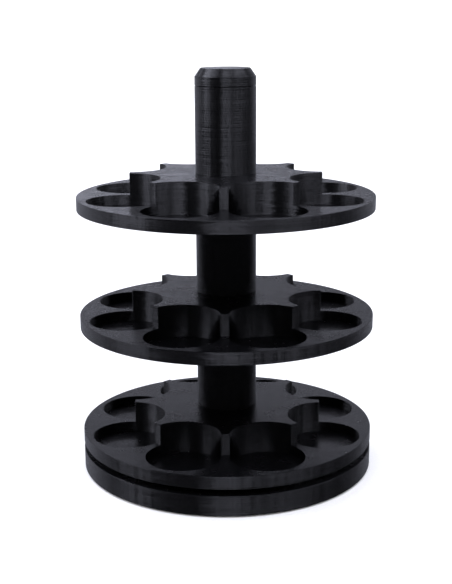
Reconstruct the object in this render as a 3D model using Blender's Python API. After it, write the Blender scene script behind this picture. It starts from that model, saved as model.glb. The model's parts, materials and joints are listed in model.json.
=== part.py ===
"""Poker chip carousel: three printed trays, each with eight round chip pockets around a
star-shaped hub, stacked on a hollow post. The stack turns on a ball race and a 608 bearing
in a round base, and a tie rod through the post clamps it together.

The origin is on the post's axis, on the surface that the feet stand on. +Z runs up the post.
"""

import math

import bmesh
import bpy
from mathutils import Matrix

MM = 0.001
GAP = 0.3 * MM  # between pieces that touch
OVERSHOOT = 2 * MM  # how far a cutter runs past the face that it cuts

# Driving dimensions
POCKET_COUNT = 8
TIER_COUNT = 3
CHIPS_PER_POCKET = 20
CHIP_HEIGHT = 3.35 * MM
POCKET_RADIUS = 21 * MM  # for a chip of 40 mm diameter
POCKET_DEPTH = 5.8 * MM
POCKET_HEADROOM = 0.7 * MM  # above a full stack of chips
WALL_BETWEEN_POCKETS = 5 * MM
OUTER_LAND = 3.6 * MM
TRAY_THICKNESS = 7.4 * MM
HUB_RISE = 12.5 * MM
HUB_RADIUS = 55.4 * MM
POST_RADIUS = 17.5 * MM

# Trays and post
POCKET_STEP = math.tau / POCKET_COUNT
POCKET_CIRCLE = (2 * POCKET_RADIUS + WALL_BETWEEN_POCKETS) / (2 * math.sin(POCKET_STEP / 2))
TRAY_RADIUS = POCKET_CIRCLE + POCKET_RADIUS + OUTER_LAND
STACK_SPACE = CHIPS_PER_POCKET * CHIP_HEIGHT + POCKET_HEADROOM
TIER_PITCH = STACK_SPACE + TRAY_THICKNESS - POCKET_DEPTH
ROD_HOLE_RADIUS = 4.4 * MM
SPIGOT_RADIUS = 15 * MM
SPIGOT_LENGTH = 5 * MM
SOCKET_RADIUS = SPIGOT_RADIUS + GAP
TUBE_BORE_RADIUS = 11.5 * MM
TUBE_LENGTH = TIER_PITCH - TRAY_THICKNESS - HUB_RISE - 2 * GAP
WEB_THICKNESS = 4 * MM
WEB_DROP = 8 * MM  # from the tube's upper shoulder down to its web
KEY_WIDTH = 4 * MM
KEY_RADIUS = 16 * MM
KEY_ROOT = 13 * MM
KEY_ANGLE = -math.pi / 2

# Cap
CAP_HEIGHT = 9.6 * MM
CAP_CHAMFER_HEIGHT = 4.7 * MM
CAP_TOP_RADIUS = 14.2 * MM

# Base and feet
FOOT_COUNT = 6
FOOT_RADIUS = 7 * MM
FOOT_HEIGHT = 2.2 * MM
FOOT_PROUD = 1 * MM
FOOT_CHAMFER = 0.4 * MM
FOOT_CIRCLE = 70 * MM
BASE_THICKNESS = 11.4 * MM
BASE_TOP = FOOT_PROUD + BASE_THICKNESS
RACE_GAP = 3.9 * MM  # between the base and the bottom tray
TRAY_FLOOR = BASE_TOP + RACE_GAP

# Ball race between the base and the bottom tray
RACE_RADIUS = 33 * MM
RACE_BALL_COUNT = 12
RACE_BALL_RADIUS = 3 * MM
RACE_LEVEL = BASE_TOP + RACE_GAP / 2
GROOVE_DEPTH = 1.35 * MM
GROOVE_FLOOR_HALF = 1.2 * MM
GROOVE_MOUTH_HALF = 2.9 * MM
CAGE_HALF_WIDTH = 4.5 * MM
CAGE_HALF_HEIGHT = 1 * MM
CAGE_HOLE_RADIUS = 3.4 * MM

# 608 bearing: 8 mm bore, 22 mm outside, 7 mm wide
BEARING_BORE_RADIUS = 4 * MM
BEARING_RADIUS = 11 * MM
BEARING_HALF = 3.5 * MM
BEARING_LEVEL = 10.9 * MM
INNER_RING_RADIUS = 6.05 * MM
INNER_GROOVE_RADIUS = 5.2 * MM
INNER_GROOVE_HALF = 1.75 * MM
INNER_GROOVE_FLOOR_HALF = 0.6 * MM
OUTER_RING_BORE = 9.3 * MM
OUTER_GROOVE_RADIUS = 9.8 * MM
OUTER_GROOVE_HALF = 1.25 * MM
OUTER_GROOVE_FLOOR_HALF = 0.5 * MM
BEARING_BALL_COUNT = 7
BEARING_BALL_RADIUS = 1.985 * MM
BEARING_BALL_CIRCLE = 7.5 * MM
CROWN_INNER = 6.9 * MM
CROWN_OUTER = 8.1 * MM
CROWN_LOW = 2.3 * MM
CROWN_HIGH = 3.1 * MM
FINGER_WIDTH = 1.7 * MM
FINGER_LOW = -1 * MM
SEAT_RADIUS = BEARING_RADIUS + GAP
SEAT_FLOOR = BEARING_LEVEL - BEARING_HALF - GAP
SEAT_LIP_RADIUS = 8.6 * MM
BOSS_RADIUS = 15.5 * MM
BOSS_TOP = 14.1 * MM

# Tie rod and its fasteners, M8
ROD_RADIUS = 3.7 * MM  # a plain cylinder at the thread's mean radius
ROD_CHAMFER = 0.7 * MM
ROD_BOTTOM = 1.3 * MM
ROD_PAST_NUT = 2 * MM
NUT_ACROSS_FLATS = 13 * MM
NUT_HEIGHT = 6.5 * MM
THIN_NUT_HEIGHT = 4 * MM
THREAD_BORE = ROD_RADIUS + GAP
WASHER_HOLE_RADIUS = 4.2 * MM
WASHER_RADIUS = 8 * MM
WASHER_THICKNESS = 1.6 * MM
SHIM_RADIUS = 7 * MM
SHIM_THICKNESS = 1 * MM
SPACER_RADIUS = 6 * MM
SPACER_LENGTH = 3 * MM
SPACER_RECESS_RADIUS = 7 * MM

# Facets of round shapes
TRAY_STEPS = 64
POCKET_STEPS = 24
GROOVE_STEPS = 36
POST_STEPS = 32
BEARING_STEPS = 24
SMALL_STEPS = 16
WELD = 1e-7


def hub_top(tier):
    return TRAY_FLOOR + tier * TIER_PITCH + TRAY_THICKNESS + HUB_RISE


def material(name, colour, roughness, metallic):
    made = bpy.data.materials.new(name)
    made.use_nodes = True
    shader = made.node_tree.nodes["Principled BSDF"]
    shader.inputs["Base Color"].default_value = (*colour, 1)
    shader.inputs["Roughness"].default_value = roughness
    shader.inputs["Metallic"].default_value = metallic
    return made


def empty(name, height):
    """A parent on the post's axis, for the pieces that turn together."""
    made = bpy.data.objects.new(name, None)
    made.location.z = height
    bpy.context.collection.objects.link(made)
    return made


def place(name, shape, finish, parent, at=(0, 0, 0)):
    """An object of the shape under its parent, at a place in world coordinates."""
    mesh = shape
    if isinstance(shape, bmesh.types.BMesh):
        mesh = mesh_of(name, shape, finish)
    made = bpy.data.objects.new(name, mesh)
    made.parent = parent
    made.location = (at[0], at[1], at[2] - parent.location.z)
    bpy.context.collection.objects.link(made)
    return made


def mesh_of(name, shape, finish):
    bmesh.ops.recalc_face_normals(shape, faces=shape.faces)
    mesh = bpy.data.meshes.new(name)
    shape.to_mesh(mesh)
    shape.free()
    mesh.materials.append(finish)
    mesh.shade_smooth()
    mesh.set_sharp_from_angle(angle=math.radians(30))
    return mesh


def turned(outline, steps):
    """An outline of (radius, height) points turned around Z. It closes on itself, or on the
    axis where it starts and ends there."""
    shape = bmesh.new()
    corners = [shape.verts.new((radius, 0, height)) for radius, height in outline]
    sides = [shape.edges.new(pair) for pair in zip(corners, corners[1:])]
    if outline[0][0] > 0:
        sides.append(shape.edges.new((corners[-1], corners[0])))
    bmesh.ops.spin(
        shape, geom=corners + sides, cent=(0, 0, 0), axis=(0, 0, 1), angle=math.tau,
        steps=steps, use_merge=True,
    )
    bmesh.ops.remove_doubles(shape, verts=shape.verts, dist=WELD)
    return shape


def ring(inner, outer, low, high, steps):
    return turned([(inner, low), (outer, low), (outer, high), (inner, high)], steps)


def disc(radius, low, high, steps):
    return turned([(0, low), (radius, low), (radius, high), (0, high)], steps)


def around(count, radius, first=0.0):
    """The angle and the place of each of a ring of copies."""
    for number in range(count):
        angle = first + number * math.tau / count
        yield angle, radius * math.cos(angle), radius * math.sin(angle)


def add_cylinders(shape, count, circle, first, radius, low, high, steps):
    """A ring of upright cylinders, added to the shape."""
    for angle, x, y in around(count, circle, first):
        at = Matrix.Translation((x, y, (low + high) / 2)) @ Matrix.Rotation(angle, 4, "Z")
        bmesh.ops.create_cone(
            shape, cap_ends=True, segments=steps, radius1=radius, radius2=radius,
            depth=high - low, matrix=at,
        )


def add_block(shape, angle, inner, outer, width, low, high):
    """A box that points away from the axis at an angle, added to the shape."""
    middle = Matrix.Translation(((inner + outer) / 2, 0, (low + high) / 2))
    size = Matrix.Diagonal((outer - inner, width, high - low, 1))
    bmesh.ops.create_cube(shape, size=1, matrix=Matrix.Rotation(angle, 4, "Z") @ middle @ size)


def combine(target, tool_shape, operation):
    """Cuts the tool's shape from the target, or joins it to the target. The tool's shape is in
    world coordinates, and it stays as a hidden guide."""
    name = f"{target.name}_tool_{len(target.modifiers) + 1}"
    tool = place(name, tool_shape, target.data.materials[0], target.parent)
    tool.hide_render = True
    tool.display_type = "WIRE"
    boolean = target.modifiers.new(name, "BOOLEAN")
    boolean.operation = operation
    boolean.solver = "EXACT"
    boolean.object = tool


def cut(target, tool_shape):
    combine(target, tool_shape, "DIFFERENCE")


def join(target, tool_shape):
    combine(target, tool_shape, "UNION")


def groove_tool(face, inward):
    """A trapezoid ring, cut into a face in the direction of inward, +1 up or -1 down."""
    floor = face + inward * GROOVE_DEPTH
    past = face - inward * OVERSHOOT
    outline = [
        (RACE_RADIUS - GROOVE_FLOOR_HALF, floor),
        (RACE_RADIUS + GROOVE_FLOOR_HALF, floor),
        (RACE_RADIUS + GROOVE_MOUTH_HALF, face),
        (RACE_RADIUS + GROOVE_MOUTH_HALF, past),
        (RACE_RADIUS - GROOVE_MOUTH_HALF, past),
        (RACE_RADIUS - GROOVE_MOUTH_HALF, face),
    ]
    return turned(outline, GROOVE_STEPS)


def key_slot(low, high):
    """The slot in a socket that a tube's key slides into."""
    shape = bmesh.new()
    add_block(shape, KEY_ANGLE, KEY_ROOT, KEY_RADIUS + GAP, KEY_WIDTH + 2 * GAP, low, high)
    return shape


def tray(name, tier, finish, parent):
    """A disc with its star hub: the pockets are cut through both."""
    floor = TRAY_FLOOR + tier * TIER_PITCH
    top = floor + TRAY_THICKNESS
    hub = top + HUB_RISE
    outline = [(0, floor), (TRAY_RADIUS, floor), (TRAY_RADIUS, top)]
    outline += [(HUB_RADIUS, top), (HUB_RADIUS, hub), (0, hub)]
    body = place(name, turned(outline, TRAY_STEPS), finish, parent)

    pockets = bmesh.new()
    add_cylinders(
        pockets, POCKET_COUNT, POCKET_CIRCLE, POCKET_STEP / 2, POCKET_RADIUS,
        top - POCKET_DEPTH, hub + OVERSHOOT, POCKET_STEPS,
    )
    cut(body, pockets)
    cut(body, disc(ROD_HOLE_RADIUS, floor - OVERSHOOT, hub + OVERSHOOT, SMALL_STEPS))
    cut(body, disc(SOCKET_RADIUS, hub - SPIGOT_LENGTH, hub + OVERSHOOT, POST_STEPS))
    cut(body, key_slot(hub - SPIGOT_LENGTH, hub + OVERSHOOT))
    if tier == 0:
        recess_top = BEARING_LEVEL + BEARING_HALF + SPACER_LENGTH + 2 * GAP
        cut(body, disc(SPACER_RECESS_RADIUS, floor - OVERSHOOT, recess_top, SMALL_STEPS))
        cut(body, groove_tool(floor, 1))
    else:
        cut(body, disc(SOCKET_RADIUS, floor - OVERSHOOT, floor + SPIGOT_LENGTH, POST_STEPS))
        cut(body, key_slot(floor - OVERSHOOT, floor + SPIGOT_LENGTH))
    return body


def post_tube(name, tier, finish, parent):
    """A tube with a keyed spigot at each end, and a web near its top for the tie rod's nut."""
    low = hub_top(tier) + GAP
    high = low + TUBE_LENGTH
    web_top = high - WEB_DROP
    outline = [
        (TUBE_BORE_RADIUS, low - SPIGOT_LENGTH),
        (SPIGOT_RADIUS, low - SPIGOT_LENGTH),
        (SPIGOT_RADIUS, low),
        (POST_RADIUS, low),
        (POST_RADIUS, high),
        (SPIGOT_RADIUS, high),
        (SPIGOT_RADIUS, high + SPIGOT_LENGTH),
        (TUBE_BORE_RADIUS, high + SPIGOT_LENGTH),
        (TUBE_BORE_RADIUS, web_top),
        (ROD_HOLE_RADIUS, web_top),
        (ROD_HOLE_RADIUS, web_top - WEB_THICKNESS),
        (TUBE_BORE_RADIUS, web_top - WEB_THICKNESS),
    ]
    tube = place(name, turned(outline, POST_STEPS), finish, parent)
    keys = bmesh.new()
    key_length = SPIGOT_LENGTH - GAP
    for start in (low - key_length, high - GAP):
        end = start + key_length + GAP
        add_block(keys, KEY_ANGLE, KEY_ROOT, KEY_RADIUS, KEY_WIDTH, start, end)
    join(tube, keys)
    return tube


def cap(name, finish, parent):
    """A chamfered cap that closes the upper tube over its spigot."""
    low = hub_top(TIER_COUNT - 1) + TUBE_LENGTH + 2 * GAP
    ceiling = low + SPIGOT_LENGTH
    high = low + CAP_HEIGHT
    outline = [
        (0, ceiling),
        (SOCKET_RADIUS, ceiling),
        (SOCKET_RADIUS, low),
        (POST_RADIUS, low),
        (POST_RADIUS, high - CAP_CHAMFER_HEIGHT),
        (CAP_TOP_RADIUS, high),
        (0, high),
    ]
    made = place(name, turned(outline, POST_STEPS), finish, parent)
    cut(made, key_slot(low - OVERSHOOT, ceiling))
    return made


def base_plate(name, finish, parent):
    """A disc with the bearing's seat and the ball groove on top, and recesses for the feet."""
    outline = [(0, FOOT_PROUD), (TRAY_RADIUS, FOOT_PROUD), (TRAY_RADIUS, BASE_TOP)]
    outline += [(BOSS_RADIUS, BASE_TOP), (BOSS_RADIUS, BOSS_TOP), (0, BOSS_TOP)]
    plate = place(name, turned(outline, TRAY_STEPS), finish, parent)
    seat = [
        (0, FOOT_PROUD - OVERSHOOT),
        (SEAT_LIP_RADIUS, FOOT_PROUD - OVERSHOOT),
        (SEAT_LIP_RADIUS, SEAT_FLOOR),
        (SEAT_RADIUS, SEAT_FLOOR),
        (SEAT_RADIUS, BOSS_TOP + OVERSHOOT),
        (0, BOSS_TOP + OVERSHOOT),
    ]
    cut(plate, turned(seat, POST_STEPS))
    cut(plate, groove_tool(BASE_TOP, -1))
    recesses = bmesh.new()
    add_cylinders(
        recesses, FOOT_COUNT, FOOT_CIRCLE, 0, FOOT_RADIUS + GAP,
        FOOT_PROUD - OVERSHOOT, FOOT_HEIGHT + GAP, SMALL_STEPS,
    )
    cut(plate, recesses)
    return plate


def feet(finish, parent):
    outline = [
        (0, 0),
        (FOOT_RADIUS - FOOT_CHAMFER, 0),
        (FOOT_RADIUS, FOOT_CHAMFER),
        (FOOT_RADIUS, FOOT_HEIGHT),
        (0, FOOT_HEIGHT),
    ]
    shared = mesh_of("rubber_foot", turned(outline, SMALL_STEPS), finish)
    for number, (_, x, y) in enumerate(around(FOOT_COUNT, FOOT_CIRCLE), 1):
        place(f"rubber_foot_{number}", shared, finish, parent, (x, y, 0))


def balls(name, count, radius, circle, level, finish, parent):
    shape = bmesh.new()
    bmesh.ops.create_icosphere(shape, subdivisions=2, radius=radius)
    shared = mesh_of(name, shape, finish)
    for number, (_, x, y) in enumerate(around(count, circle), 1):
        place(f"{name}_{number}", shared, finish, parent, (x, y, level))


def race_cage(name, finish, parent):
    """The flat ring that keeps the race's balls apart."""
    low = RACE_LEVEL - CAGE_HALF_HEIGHT
    high = RACE_LEVEL + CAGE_HALF_HEIGHT
    inner = RACE_RADIUS - CAGE_HALF_WIDTH
    outer = RACE_RADIUS + CAGE_HALF_WIDTH
    cage = place(name, ring(inner, outer, low, high, GROOVE_STEPS), finish, parent)
    holes = bmesh.new()
    add_cylinders(
        holes, RACE_BALL_COUNT, RACE_RADIUS, 0, CAGE_HOLE_RADIUS,
        low - OVERSHOOT, high + OVERSHOOT, SMALL_STEPS,
    )
    cut(cage, holes)


def bearing_rings(finish, base, carousel):
    low = BEARING_LEVEL - BEARING_HALF
    high = BEARING_LEVEL + BEARING_HALF
    outer = [
        (BEARING_RADIUS, low),
        (BEARING_RADIUS, high),
        (OUTER_RING_BORE, high),
        (OUTER_RING_BORE, BEARING_LEVEL + OUTER_GROOVE_HALF),
        (OUTER_GROOVE_RADIUS, BEARING_LEVEL + OUTER_GROOVE_FLOOR_HALF),
        (OUTER_GROOVE_RADIUS, BEARING_LEVEL - OUTER_GROOVE_FLOOR_HALF),
        (OUTER_RING_BORE, BEARING_LEVEL - OUTER_GROOVE_HALF),
        (OUTER_RING_BORE, low),
    ]
    inner = [
        (BEARING_BORE_RADIUS, low),
        (INNER_RING_RADIUS, low),
        (INNER_RING_RADIUS, BEARING_LEVEL - INNER_GROOVE_HALF),
        (INNER_GROOVE_RADIUS, BEARING_LEVEL - INNER_GROOVE_FLOOR_HALF),
        (INNER_GROOVE_RADIUS, BEARING_LEVEL + INNER_GROOVE_FLOOR_HALF),
        (INNER_RING_RADIUS, BEARING_LEVEL + INNER_GROOVE_HALF),
        (INNER_RING_RADIUS, high),
        (BEARING_BORE_RADIUS, high),
    ]
    place("bearing_outer_ring", turned(outer, BEARING_STEPS), finish, base)
    place("bearing_inner_ring", turned(inner, BEARING_STEPS), finish, carousel)


def crown_cage(name, finish, parent):
    """The bearing's cage: a ring above the balls, with a finger down between each pair."""
    low = BEARING_LEVEL + CROWN_LOW
    high = BEARING_LEVEL + CROWN_HIGH
    crown = place(name, ring(CROWN_INNER, CROWN_OUTER, low, high, BEARING_STEPS), finish, parent)
    fingers = bmesh.new()
    between = math.pi / BEARING_BALL_COUNT
    for angle, _, _ in around(BEARING_BALL_COUNT, CROWN_OUTER, between):
        add_block(
            fingers, angle, CROWN_INNER + GAP / 2, CROWN_OUTER - GAP / 2, FINGER_WIDTH,
            BEARING_LEVEL + FINGER_LOW, (low + high) / 2,
        )
    join(crown, fingers)


def hex_nut(name, low, height, finish, parent):
    corner = NUT_ACROSS_FLATS / math.sqrt(3)
    nut = place(name, disc(corner, low, low + height, 6), finish, parent)
    cut(nut, disc(THREAD_BORE, low - OVERSHOOT, low + height + OVERSHOOT, SMALL_STEPS))


def fasteners(steel, parent):
    """The tie rod, its nuts and washers, and the spacer that carries the bottom tray."""
    bearing_low = BEARING_LEVEL - BEARING_HALF
    bearing_high = BEARING_LEVEL + BEARING_HALF
    shim_low = bearing_low - GAP - SHIM_THICKNESS
    thin_nut_low = shim_low - GAP - THIN_NUT_HEIGHT
    spacer_low = bearing_high + GAP
    web_top = hub_top(TIER_COUNT - 1) + GAP + TUBE_LENGTH - WEB_DROP
    washer_low = web_top + GAP
    nut_low = washer_low + WASHER_THICKNESS + GAP
    rod_top = nut_low + NUT_HEIGHT + ROD_PAST_NUT

    rod = [
        (0, ROD_BOTTOM),
        (ROD_RADIUS - ROD_CHAMFER, ROD_BOTTOM),
        (ROD_RADIUS, ROD_BOTTOM + ROD_CHAMFER),
        (ROD_RADIUS, rod_top - ROD_CHAMFER),
        (ROD_RADIUS - ROD_CHAMFER, rod_top),
        (0, rod_top),
    ]
    place("tie_rod", turned(rod, SMALL_STEPS), steel, parent)
    hex_nut("lower_nut", thin_nut_low, THIN_NUT_HEIGHT, steel, parent)
    hex_nut("upper_nut", nut_low, NUT_HEIGHT, steel, parent)
    flat_rings = (
        ("lower_washer", SHIM_RADIUS, shim_low, SHIM_THICKNESS),
        ("upper_washer", WASHER_RADIUS, washer_low, WASHER_THICKNESS),
        ("bearing_spacer", SPACER_RADIUS, spacer_low, SPACER_LENGTH),
    )
    for name, radius, low, height in flat_rings:
        shape = ring(WASHER_HOLE_RADIUS, radius, low, low + height, SMALL_STEPS)
        place(name, shape, steel, parent)


def build():
    for old in list(bpy.data.objects):
        bpy.data.objects.remove(old, do_unlink=True)

    base = empty("base_axis", 0)
    carousel = empty("carousel_axis", TRAY_FLOOR)
    race = empty("race_axis", RACE_LEVEL)
    bearing = empty("bearing_axis", BEARING_LEVEL)

    base_black = material("base_black", (0.012, 0.012, 0.014), 0.42, 0)
    tray_black = material("tray_black", (0.011, 0.011, 0.013), 0.36, 0)
    post_black = material("post_black", (0.011, 0.011, 0.013), 0.38, 0)
    cap_black = material("cap_black", (0.012, 0.012, 0.014), 0.34, 0)
    foot_rubber = material("foot_rubber", (0.02, 0.02, 0.02), 0.85, 0)
    cage_plastic = material("cage_plastic", (0.03, 0.03, 0.033), 0.5, 0)
    crown_nylon = material("crown_nylon", (0.55, 0.5, 0.4), 0.5, 0)
    ball_steel = material("ball_steel", (0.62, 0.62, 0.63), 0.12, 1)
    bearing_steel = material("bearing_steel", (0.58, 0.58, 0.6), 0.22, 1)
    zinc_steel = material("zinc_steel", (0.55, 0.56, 0.58), 0.35, 1)

    base_plate("base_plate", base_black, base)
    feet(foot_rubber, base)
    bearing_rings(bearing_steel, base, carousel)
    for tier, place_name in enumerate(("bottom", "middle", "top")):
        tray(f"{place_name}_tray", tier, tray_black, carousel)
    for tier, place_name in enumerate(("lower", "middle", "upper")):
        post_tube(f"{place_name}_post_tube", tier, post_black, carousel)
    cap("top_cap", cap_black, carousel)
    fasteners(zinc_steel, carousel)
    race_cage("race_cage", cage_plastic, race)
    balls(
        "race_ball", RACE_BALL_COUNT, RACE_BALL_RADIUS, RACE_RADIUS, RACE_LEVEL, ball_steel, race
    )
    crown_cage("bearing_cage", crown_nylon, bearing)
    balls(
        "bearing_ball", BEARING_BALL_COUNT, BEARING_BALL_RADIUS, BEARING_BALL_CIRCLE,
        BEARING_LEVEL, ball_steel, bearing,
    )


build()
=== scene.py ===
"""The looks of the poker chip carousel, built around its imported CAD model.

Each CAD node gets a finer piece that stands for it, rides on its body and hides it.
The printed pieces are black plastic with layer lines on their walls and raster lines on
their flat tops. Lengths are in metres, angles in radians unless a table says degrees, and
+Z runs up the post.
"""

import json
import math

import bmesh
import bpy
from mathutils import Matrix, Vector


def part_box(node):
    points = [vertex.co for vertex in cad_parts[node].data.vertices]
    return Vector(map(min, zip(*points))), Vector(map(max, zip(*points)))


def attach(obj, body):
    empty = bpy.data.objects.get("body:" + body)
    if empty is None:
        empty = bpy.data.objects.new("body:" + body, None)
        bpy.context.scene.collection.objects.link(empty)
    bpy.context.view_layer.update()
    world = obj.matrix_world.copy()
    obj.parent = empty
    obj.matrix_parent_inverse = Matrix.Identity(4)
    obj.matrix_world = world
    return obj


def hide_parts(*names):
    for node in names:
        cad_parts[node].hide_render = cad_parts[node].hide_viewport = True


MM = 0.001

# Sizes of the part that its nodes' boxes don't give
POCKET_COUNT = 8
POCKET_RADIUS = 21 * MM
POCKET_DEPTH = 5.8 * MM
WALL_BETWEEN_POCKETS = 5 * MM
TRAY_THICKNESS = 7.4 * MM
HUB_RADIUS = 55.4 * MM
POST_RADIUS = 17.5 * MM
SOCKET_RADIUS = 15.3 * MM
SPIGOT_RADIUS = 15 * MM
SPIGOT_LENGTH = 5 * MM
TUBE_BORE_RADIUS = 11.5 * MM
ROD_HOLE_RADIUS = 4.4 * MM
WEB_DROP = 8 * MM
WEB_THICKNESS = 4 * MM
KEY_WIDTH = 4 * MM
KEY_ROOT = 13 * MM
KEY_RADIUS = 16 * MM
KEY_ANGLE = -math.pi / 2
GAP = 0.3 * MM
CAP_CHAMFER_HEIGHT = 4.7 * MM
CAP_TOP_RADIUS = 14.2 * MM
RACE_RADIUS = 33 * MM
RACE_BALL_COUNT = 12
RACE_GROOVE_RADIUS = 3.3 * MM
CAGE_HOLE_RADIUS = 3.4 * MM
SPACER_RECESS_RADIUS = 7 * MM
SPACER_RECESS_TOP = 18 * MM
BASE_RIM_TOP = 12.4 * MM
BOSS_RADIUS = 15.5 * MM
BEARING_SEAT_RADIUS = 11.3 * MM
BEARING_SEAT_FLOOR = 7.1 * MM
BEARING_LIP_RADIUS = 8.6 * MM
FOOT_COUNT = 6
FOOT_RECESS_RADIUS = 7.3 * MM
FOOT_RECESS_TOP = 2.5 * MM
BEARING_BORE_RADIUS = 4 * MM
OUTER_RING_BORE = 9.3 * MM
BEARING_BALL_COUNT = 7
BEARING_BALL_CIRCLE = 7.5 * MM
BEARING_GROOVE_RADIUS = 2.15 * MM
CROWN_HEIGHT = 0.8 * MM
CROWN_WIDTH = 1.2 * MM
CROWN_FINGER_WIDTH = 1.7 * MM
WASHER_HOLE_RADIUS = 4.2 * MM
NUT_ACROSS_FLATS = 13 * MM
NUT_HOLE_RADIUS = 4 * MM
NUT_CORNER_HEIGHT = 0.9 * MM
NUT_CORNER_INSET = 1.6 * MM
NUT_MOUTH = 0.5 * MM
THREAD_PITCH = 1.25 * MM
THREAD_DEPTH = 0.6 * MM
THREAD_CREST = (0.45, 0.6)  # where in each turn of the thread its crest starts and ends
LOWER_THREAD_LENGTH = 14 * MM
UPPER_THREAD_LENGTH = 22 * MM
FOOT_DISH_DEPTH = 0.25 * MM
FOOT_DISH_SHARE = 0.72  # of the foot's radius

# Edges and facets of the fine pieces
EDGE = 0.3 * MM  # radius of a printed edge
SHOULDER_EDGE = 0.15 * MM
SPIGOT_EDGE = 0.5 * MM
EDGE_STEPS = 3
UPRIGHT_SHARE = 0.15  # of each layer in the cap's chamfer
GROOVE_STEPS = 10
BALL_GROOVE_STEPS = 8
ARC_PER_POCKET = 20  # steps of a round shape in each sector of 45 degrees
RIM_PER_POCKET = 36
POCKET_INNER_STEPS = 44
POCKET_OUTER_STEPS = 76
TUBE_STEPS = 128
CAGE_STEPS = 160
RING_STEPS = 96
SMALL_STEPS = 48
ROD_STEPS = 32
SHARP_ANGLE = math.radians(38)
SOFTENED_ANGLE = math.radians(50)  # a tray's edge that turns by more than this is rounded
LEVEL_NORMAL = 0.72  # a face whose normal rises more than this is a top or an underside
OVERSHOOT = 1 * MM

SECTOR = math.tau / POCKET_COUNT
POCKET_CIRCLE = (2 * POCKET_RADIUS + WALL_BETWEEN_POCKETS) / (2 * math.sin(SECTOR / 2))
LAYER = 0.2 * MM  # height of a printed layer
LINE = 0.42 * MM  # width of a printed line

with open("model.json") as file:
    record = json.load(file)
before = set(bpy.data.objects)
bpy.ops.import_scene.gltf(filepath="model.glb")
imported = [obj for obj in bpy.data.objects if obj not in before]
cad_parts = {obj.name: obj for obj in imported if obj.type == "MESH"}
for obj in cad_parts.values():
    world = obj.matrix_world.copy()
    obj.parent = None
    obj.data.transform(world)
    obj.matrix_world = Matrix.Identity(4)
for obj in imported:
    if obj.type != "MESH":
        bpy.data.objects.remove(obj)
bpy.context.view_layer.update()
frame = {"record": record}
record = frame["record"]
BODY_OF = {node: body for body, nodes in record["behaviour"]["bodies"].items() for node in nodes}
TRAY_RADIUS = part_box("top_tray")[1].x


# Node graphs


class Graph:
    """Short calls that add nodes to a material's or the world's tree."""

    def __init__(self, tree):
        self.tree = tree

    def add(self, kind, inputs=(), **settings):
        node = self.tree.nodes.new("ShaderNode" + kind)
        for name, value in settings.items():
            setattr(node, name, value)
        for name, value in dict(inputs).items():
            self.feed(node.inputs[name], value)
        return node

    def feed(self, socket, value):
        """Links an output to the socket, or sets the socket to a number or a tuple."""
        if isinstance(value, bpy.types.NodeSocket):
            self.tree.links.new(value, socket)
        else:
            socket.default_value = value

    def math(self, operation, *values):
        node = self.add("Math", operation=operation)
        for socket, value in zip(node.inputs, values):
            self.feed(socket, value)
        return node.outputs[0]

    def vector(self, operation, *values):
        node = self.add("VectorMath", operation=operation)
        for socket, value in zip(node.inputs, values):
            self.feed(socket, value)
        return node.outputs[0]

    def length_of(self, value):
        node = self.add("VectorMath", {0: value}, operation="LENGTH")
        return node.outputs["Value"]

    def joined(self, x, y, z):
        return self.add("CombineXYZ", {0: x, 1: y, 2: z}).outputs[0]

    def noise(self, place, scale, detail=2.0, roughness=0.5):
        inputs = {"Vector": place, "Scale": scale, "Detail": detail, "Roughness": roughness}
        return self.add("TexNoise", inputs).outputs["Fac"]

    def stretched_noise(self, place, scales, detail=2.0, roughness=0.5):
        """Noise with a scale of its own along each axis."""
        return self.noise(self.vector("MULTIPLY", place, scales), 1.0, detail, roughness)

    def wave(self, place, length, shift):
        """A sine along a place, pushed along by a shift in radians."""
        phase = self.math("ADD", self.math("MULTIPLY", place, math.tau / length), shift)
        return self.math("SINE", phase)

    def remap(self, value, low, high, to_low, to_high):
        inputs = {0: value, 1: low, 2: high, 3: to_low, 4: to_high}
        return self.add("MapRange", inputs).outputs["Result"]

    def ramp(self, fac, stops):
        """A colour ramp through (place, brightness or colour) stops."""
        node = self.add("ValToRGB", {0: fac})
        elements = node.color_ramp.elements
        while len(elements) < len(stops):
            elements.new(0.5)
        for element, (place, colour) in zip(elements, stops):
            element.position = place
            shade = colour if isinstance(colour, tuple) else (colour,) * 3
            element.color = (*shade, 1)
        return node.outputs["Color"]

    def by_degrees(self, angle, stops):
        """A ramp over an angle between -90 and 90 degrees through (degrees, brightness) stops."""
        share = self.remap(angle, -math.pi / 2, math.pi / 2, 0.0, 1.0)
        return self.ramp(share, [((degrees + 90) / 180, bright) for degrees, bright in stops])

    def mix(self, fac, low, high):
        node = self.add("Mix", {0: fac}, data_type="RGBA")
        self.feed(node.inputs[6], low)
        self.feed(node.inputs[7], high)
        return node.outputs[2]

    def bump(self, height, distance, normal=None):
        inputs = {"Height": height, "Distance": distance, "Strength": 1.0}
        node = self.add("Bump", inputs)
        if normal is not None:
            self.feed(node.inputs["Normal"], normal)
        return node.outputs["Normal"]


def new_material(name):
    """A material, its graph and its shader."""
    made = bpy.data.materials.new(name)
    made.use_nodes = True
    graph = Graph(made.node_tree)
    return made, graph, made.node_tree.nodes["Principled BSDF"]


def object_place(graph):
    """The point on the piece, in the piece's own coordinates."""
    return graph.add("TexCoord").outputs["Object"]


# Materials

PLASTIC_DARK = (0.0014, 0.0014, 0.0017)
PLASTIC_LIGHT = (0.0024, 0.0024, 0.0028)
# The tops are the walls' black plastic painted lighter: painted light that stands for the extra light
# the flat tops catch
PAINTED_LIT_TOP_DARK = (0.0028, 0.0028, 0.0032)
PAINTED_LIT_TOP_LIGHT = (0.0046, 0.0046, 0.0052)
PLASTIC_IOR = 1.5
WALL_ROUGHNESS = 0.23
TOP_ROUGHNESS = 0.24
MOTTLE_SCALE = 140.0
WALL_GRAIN = 0.25  # turns the shader's grain upright

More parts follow.
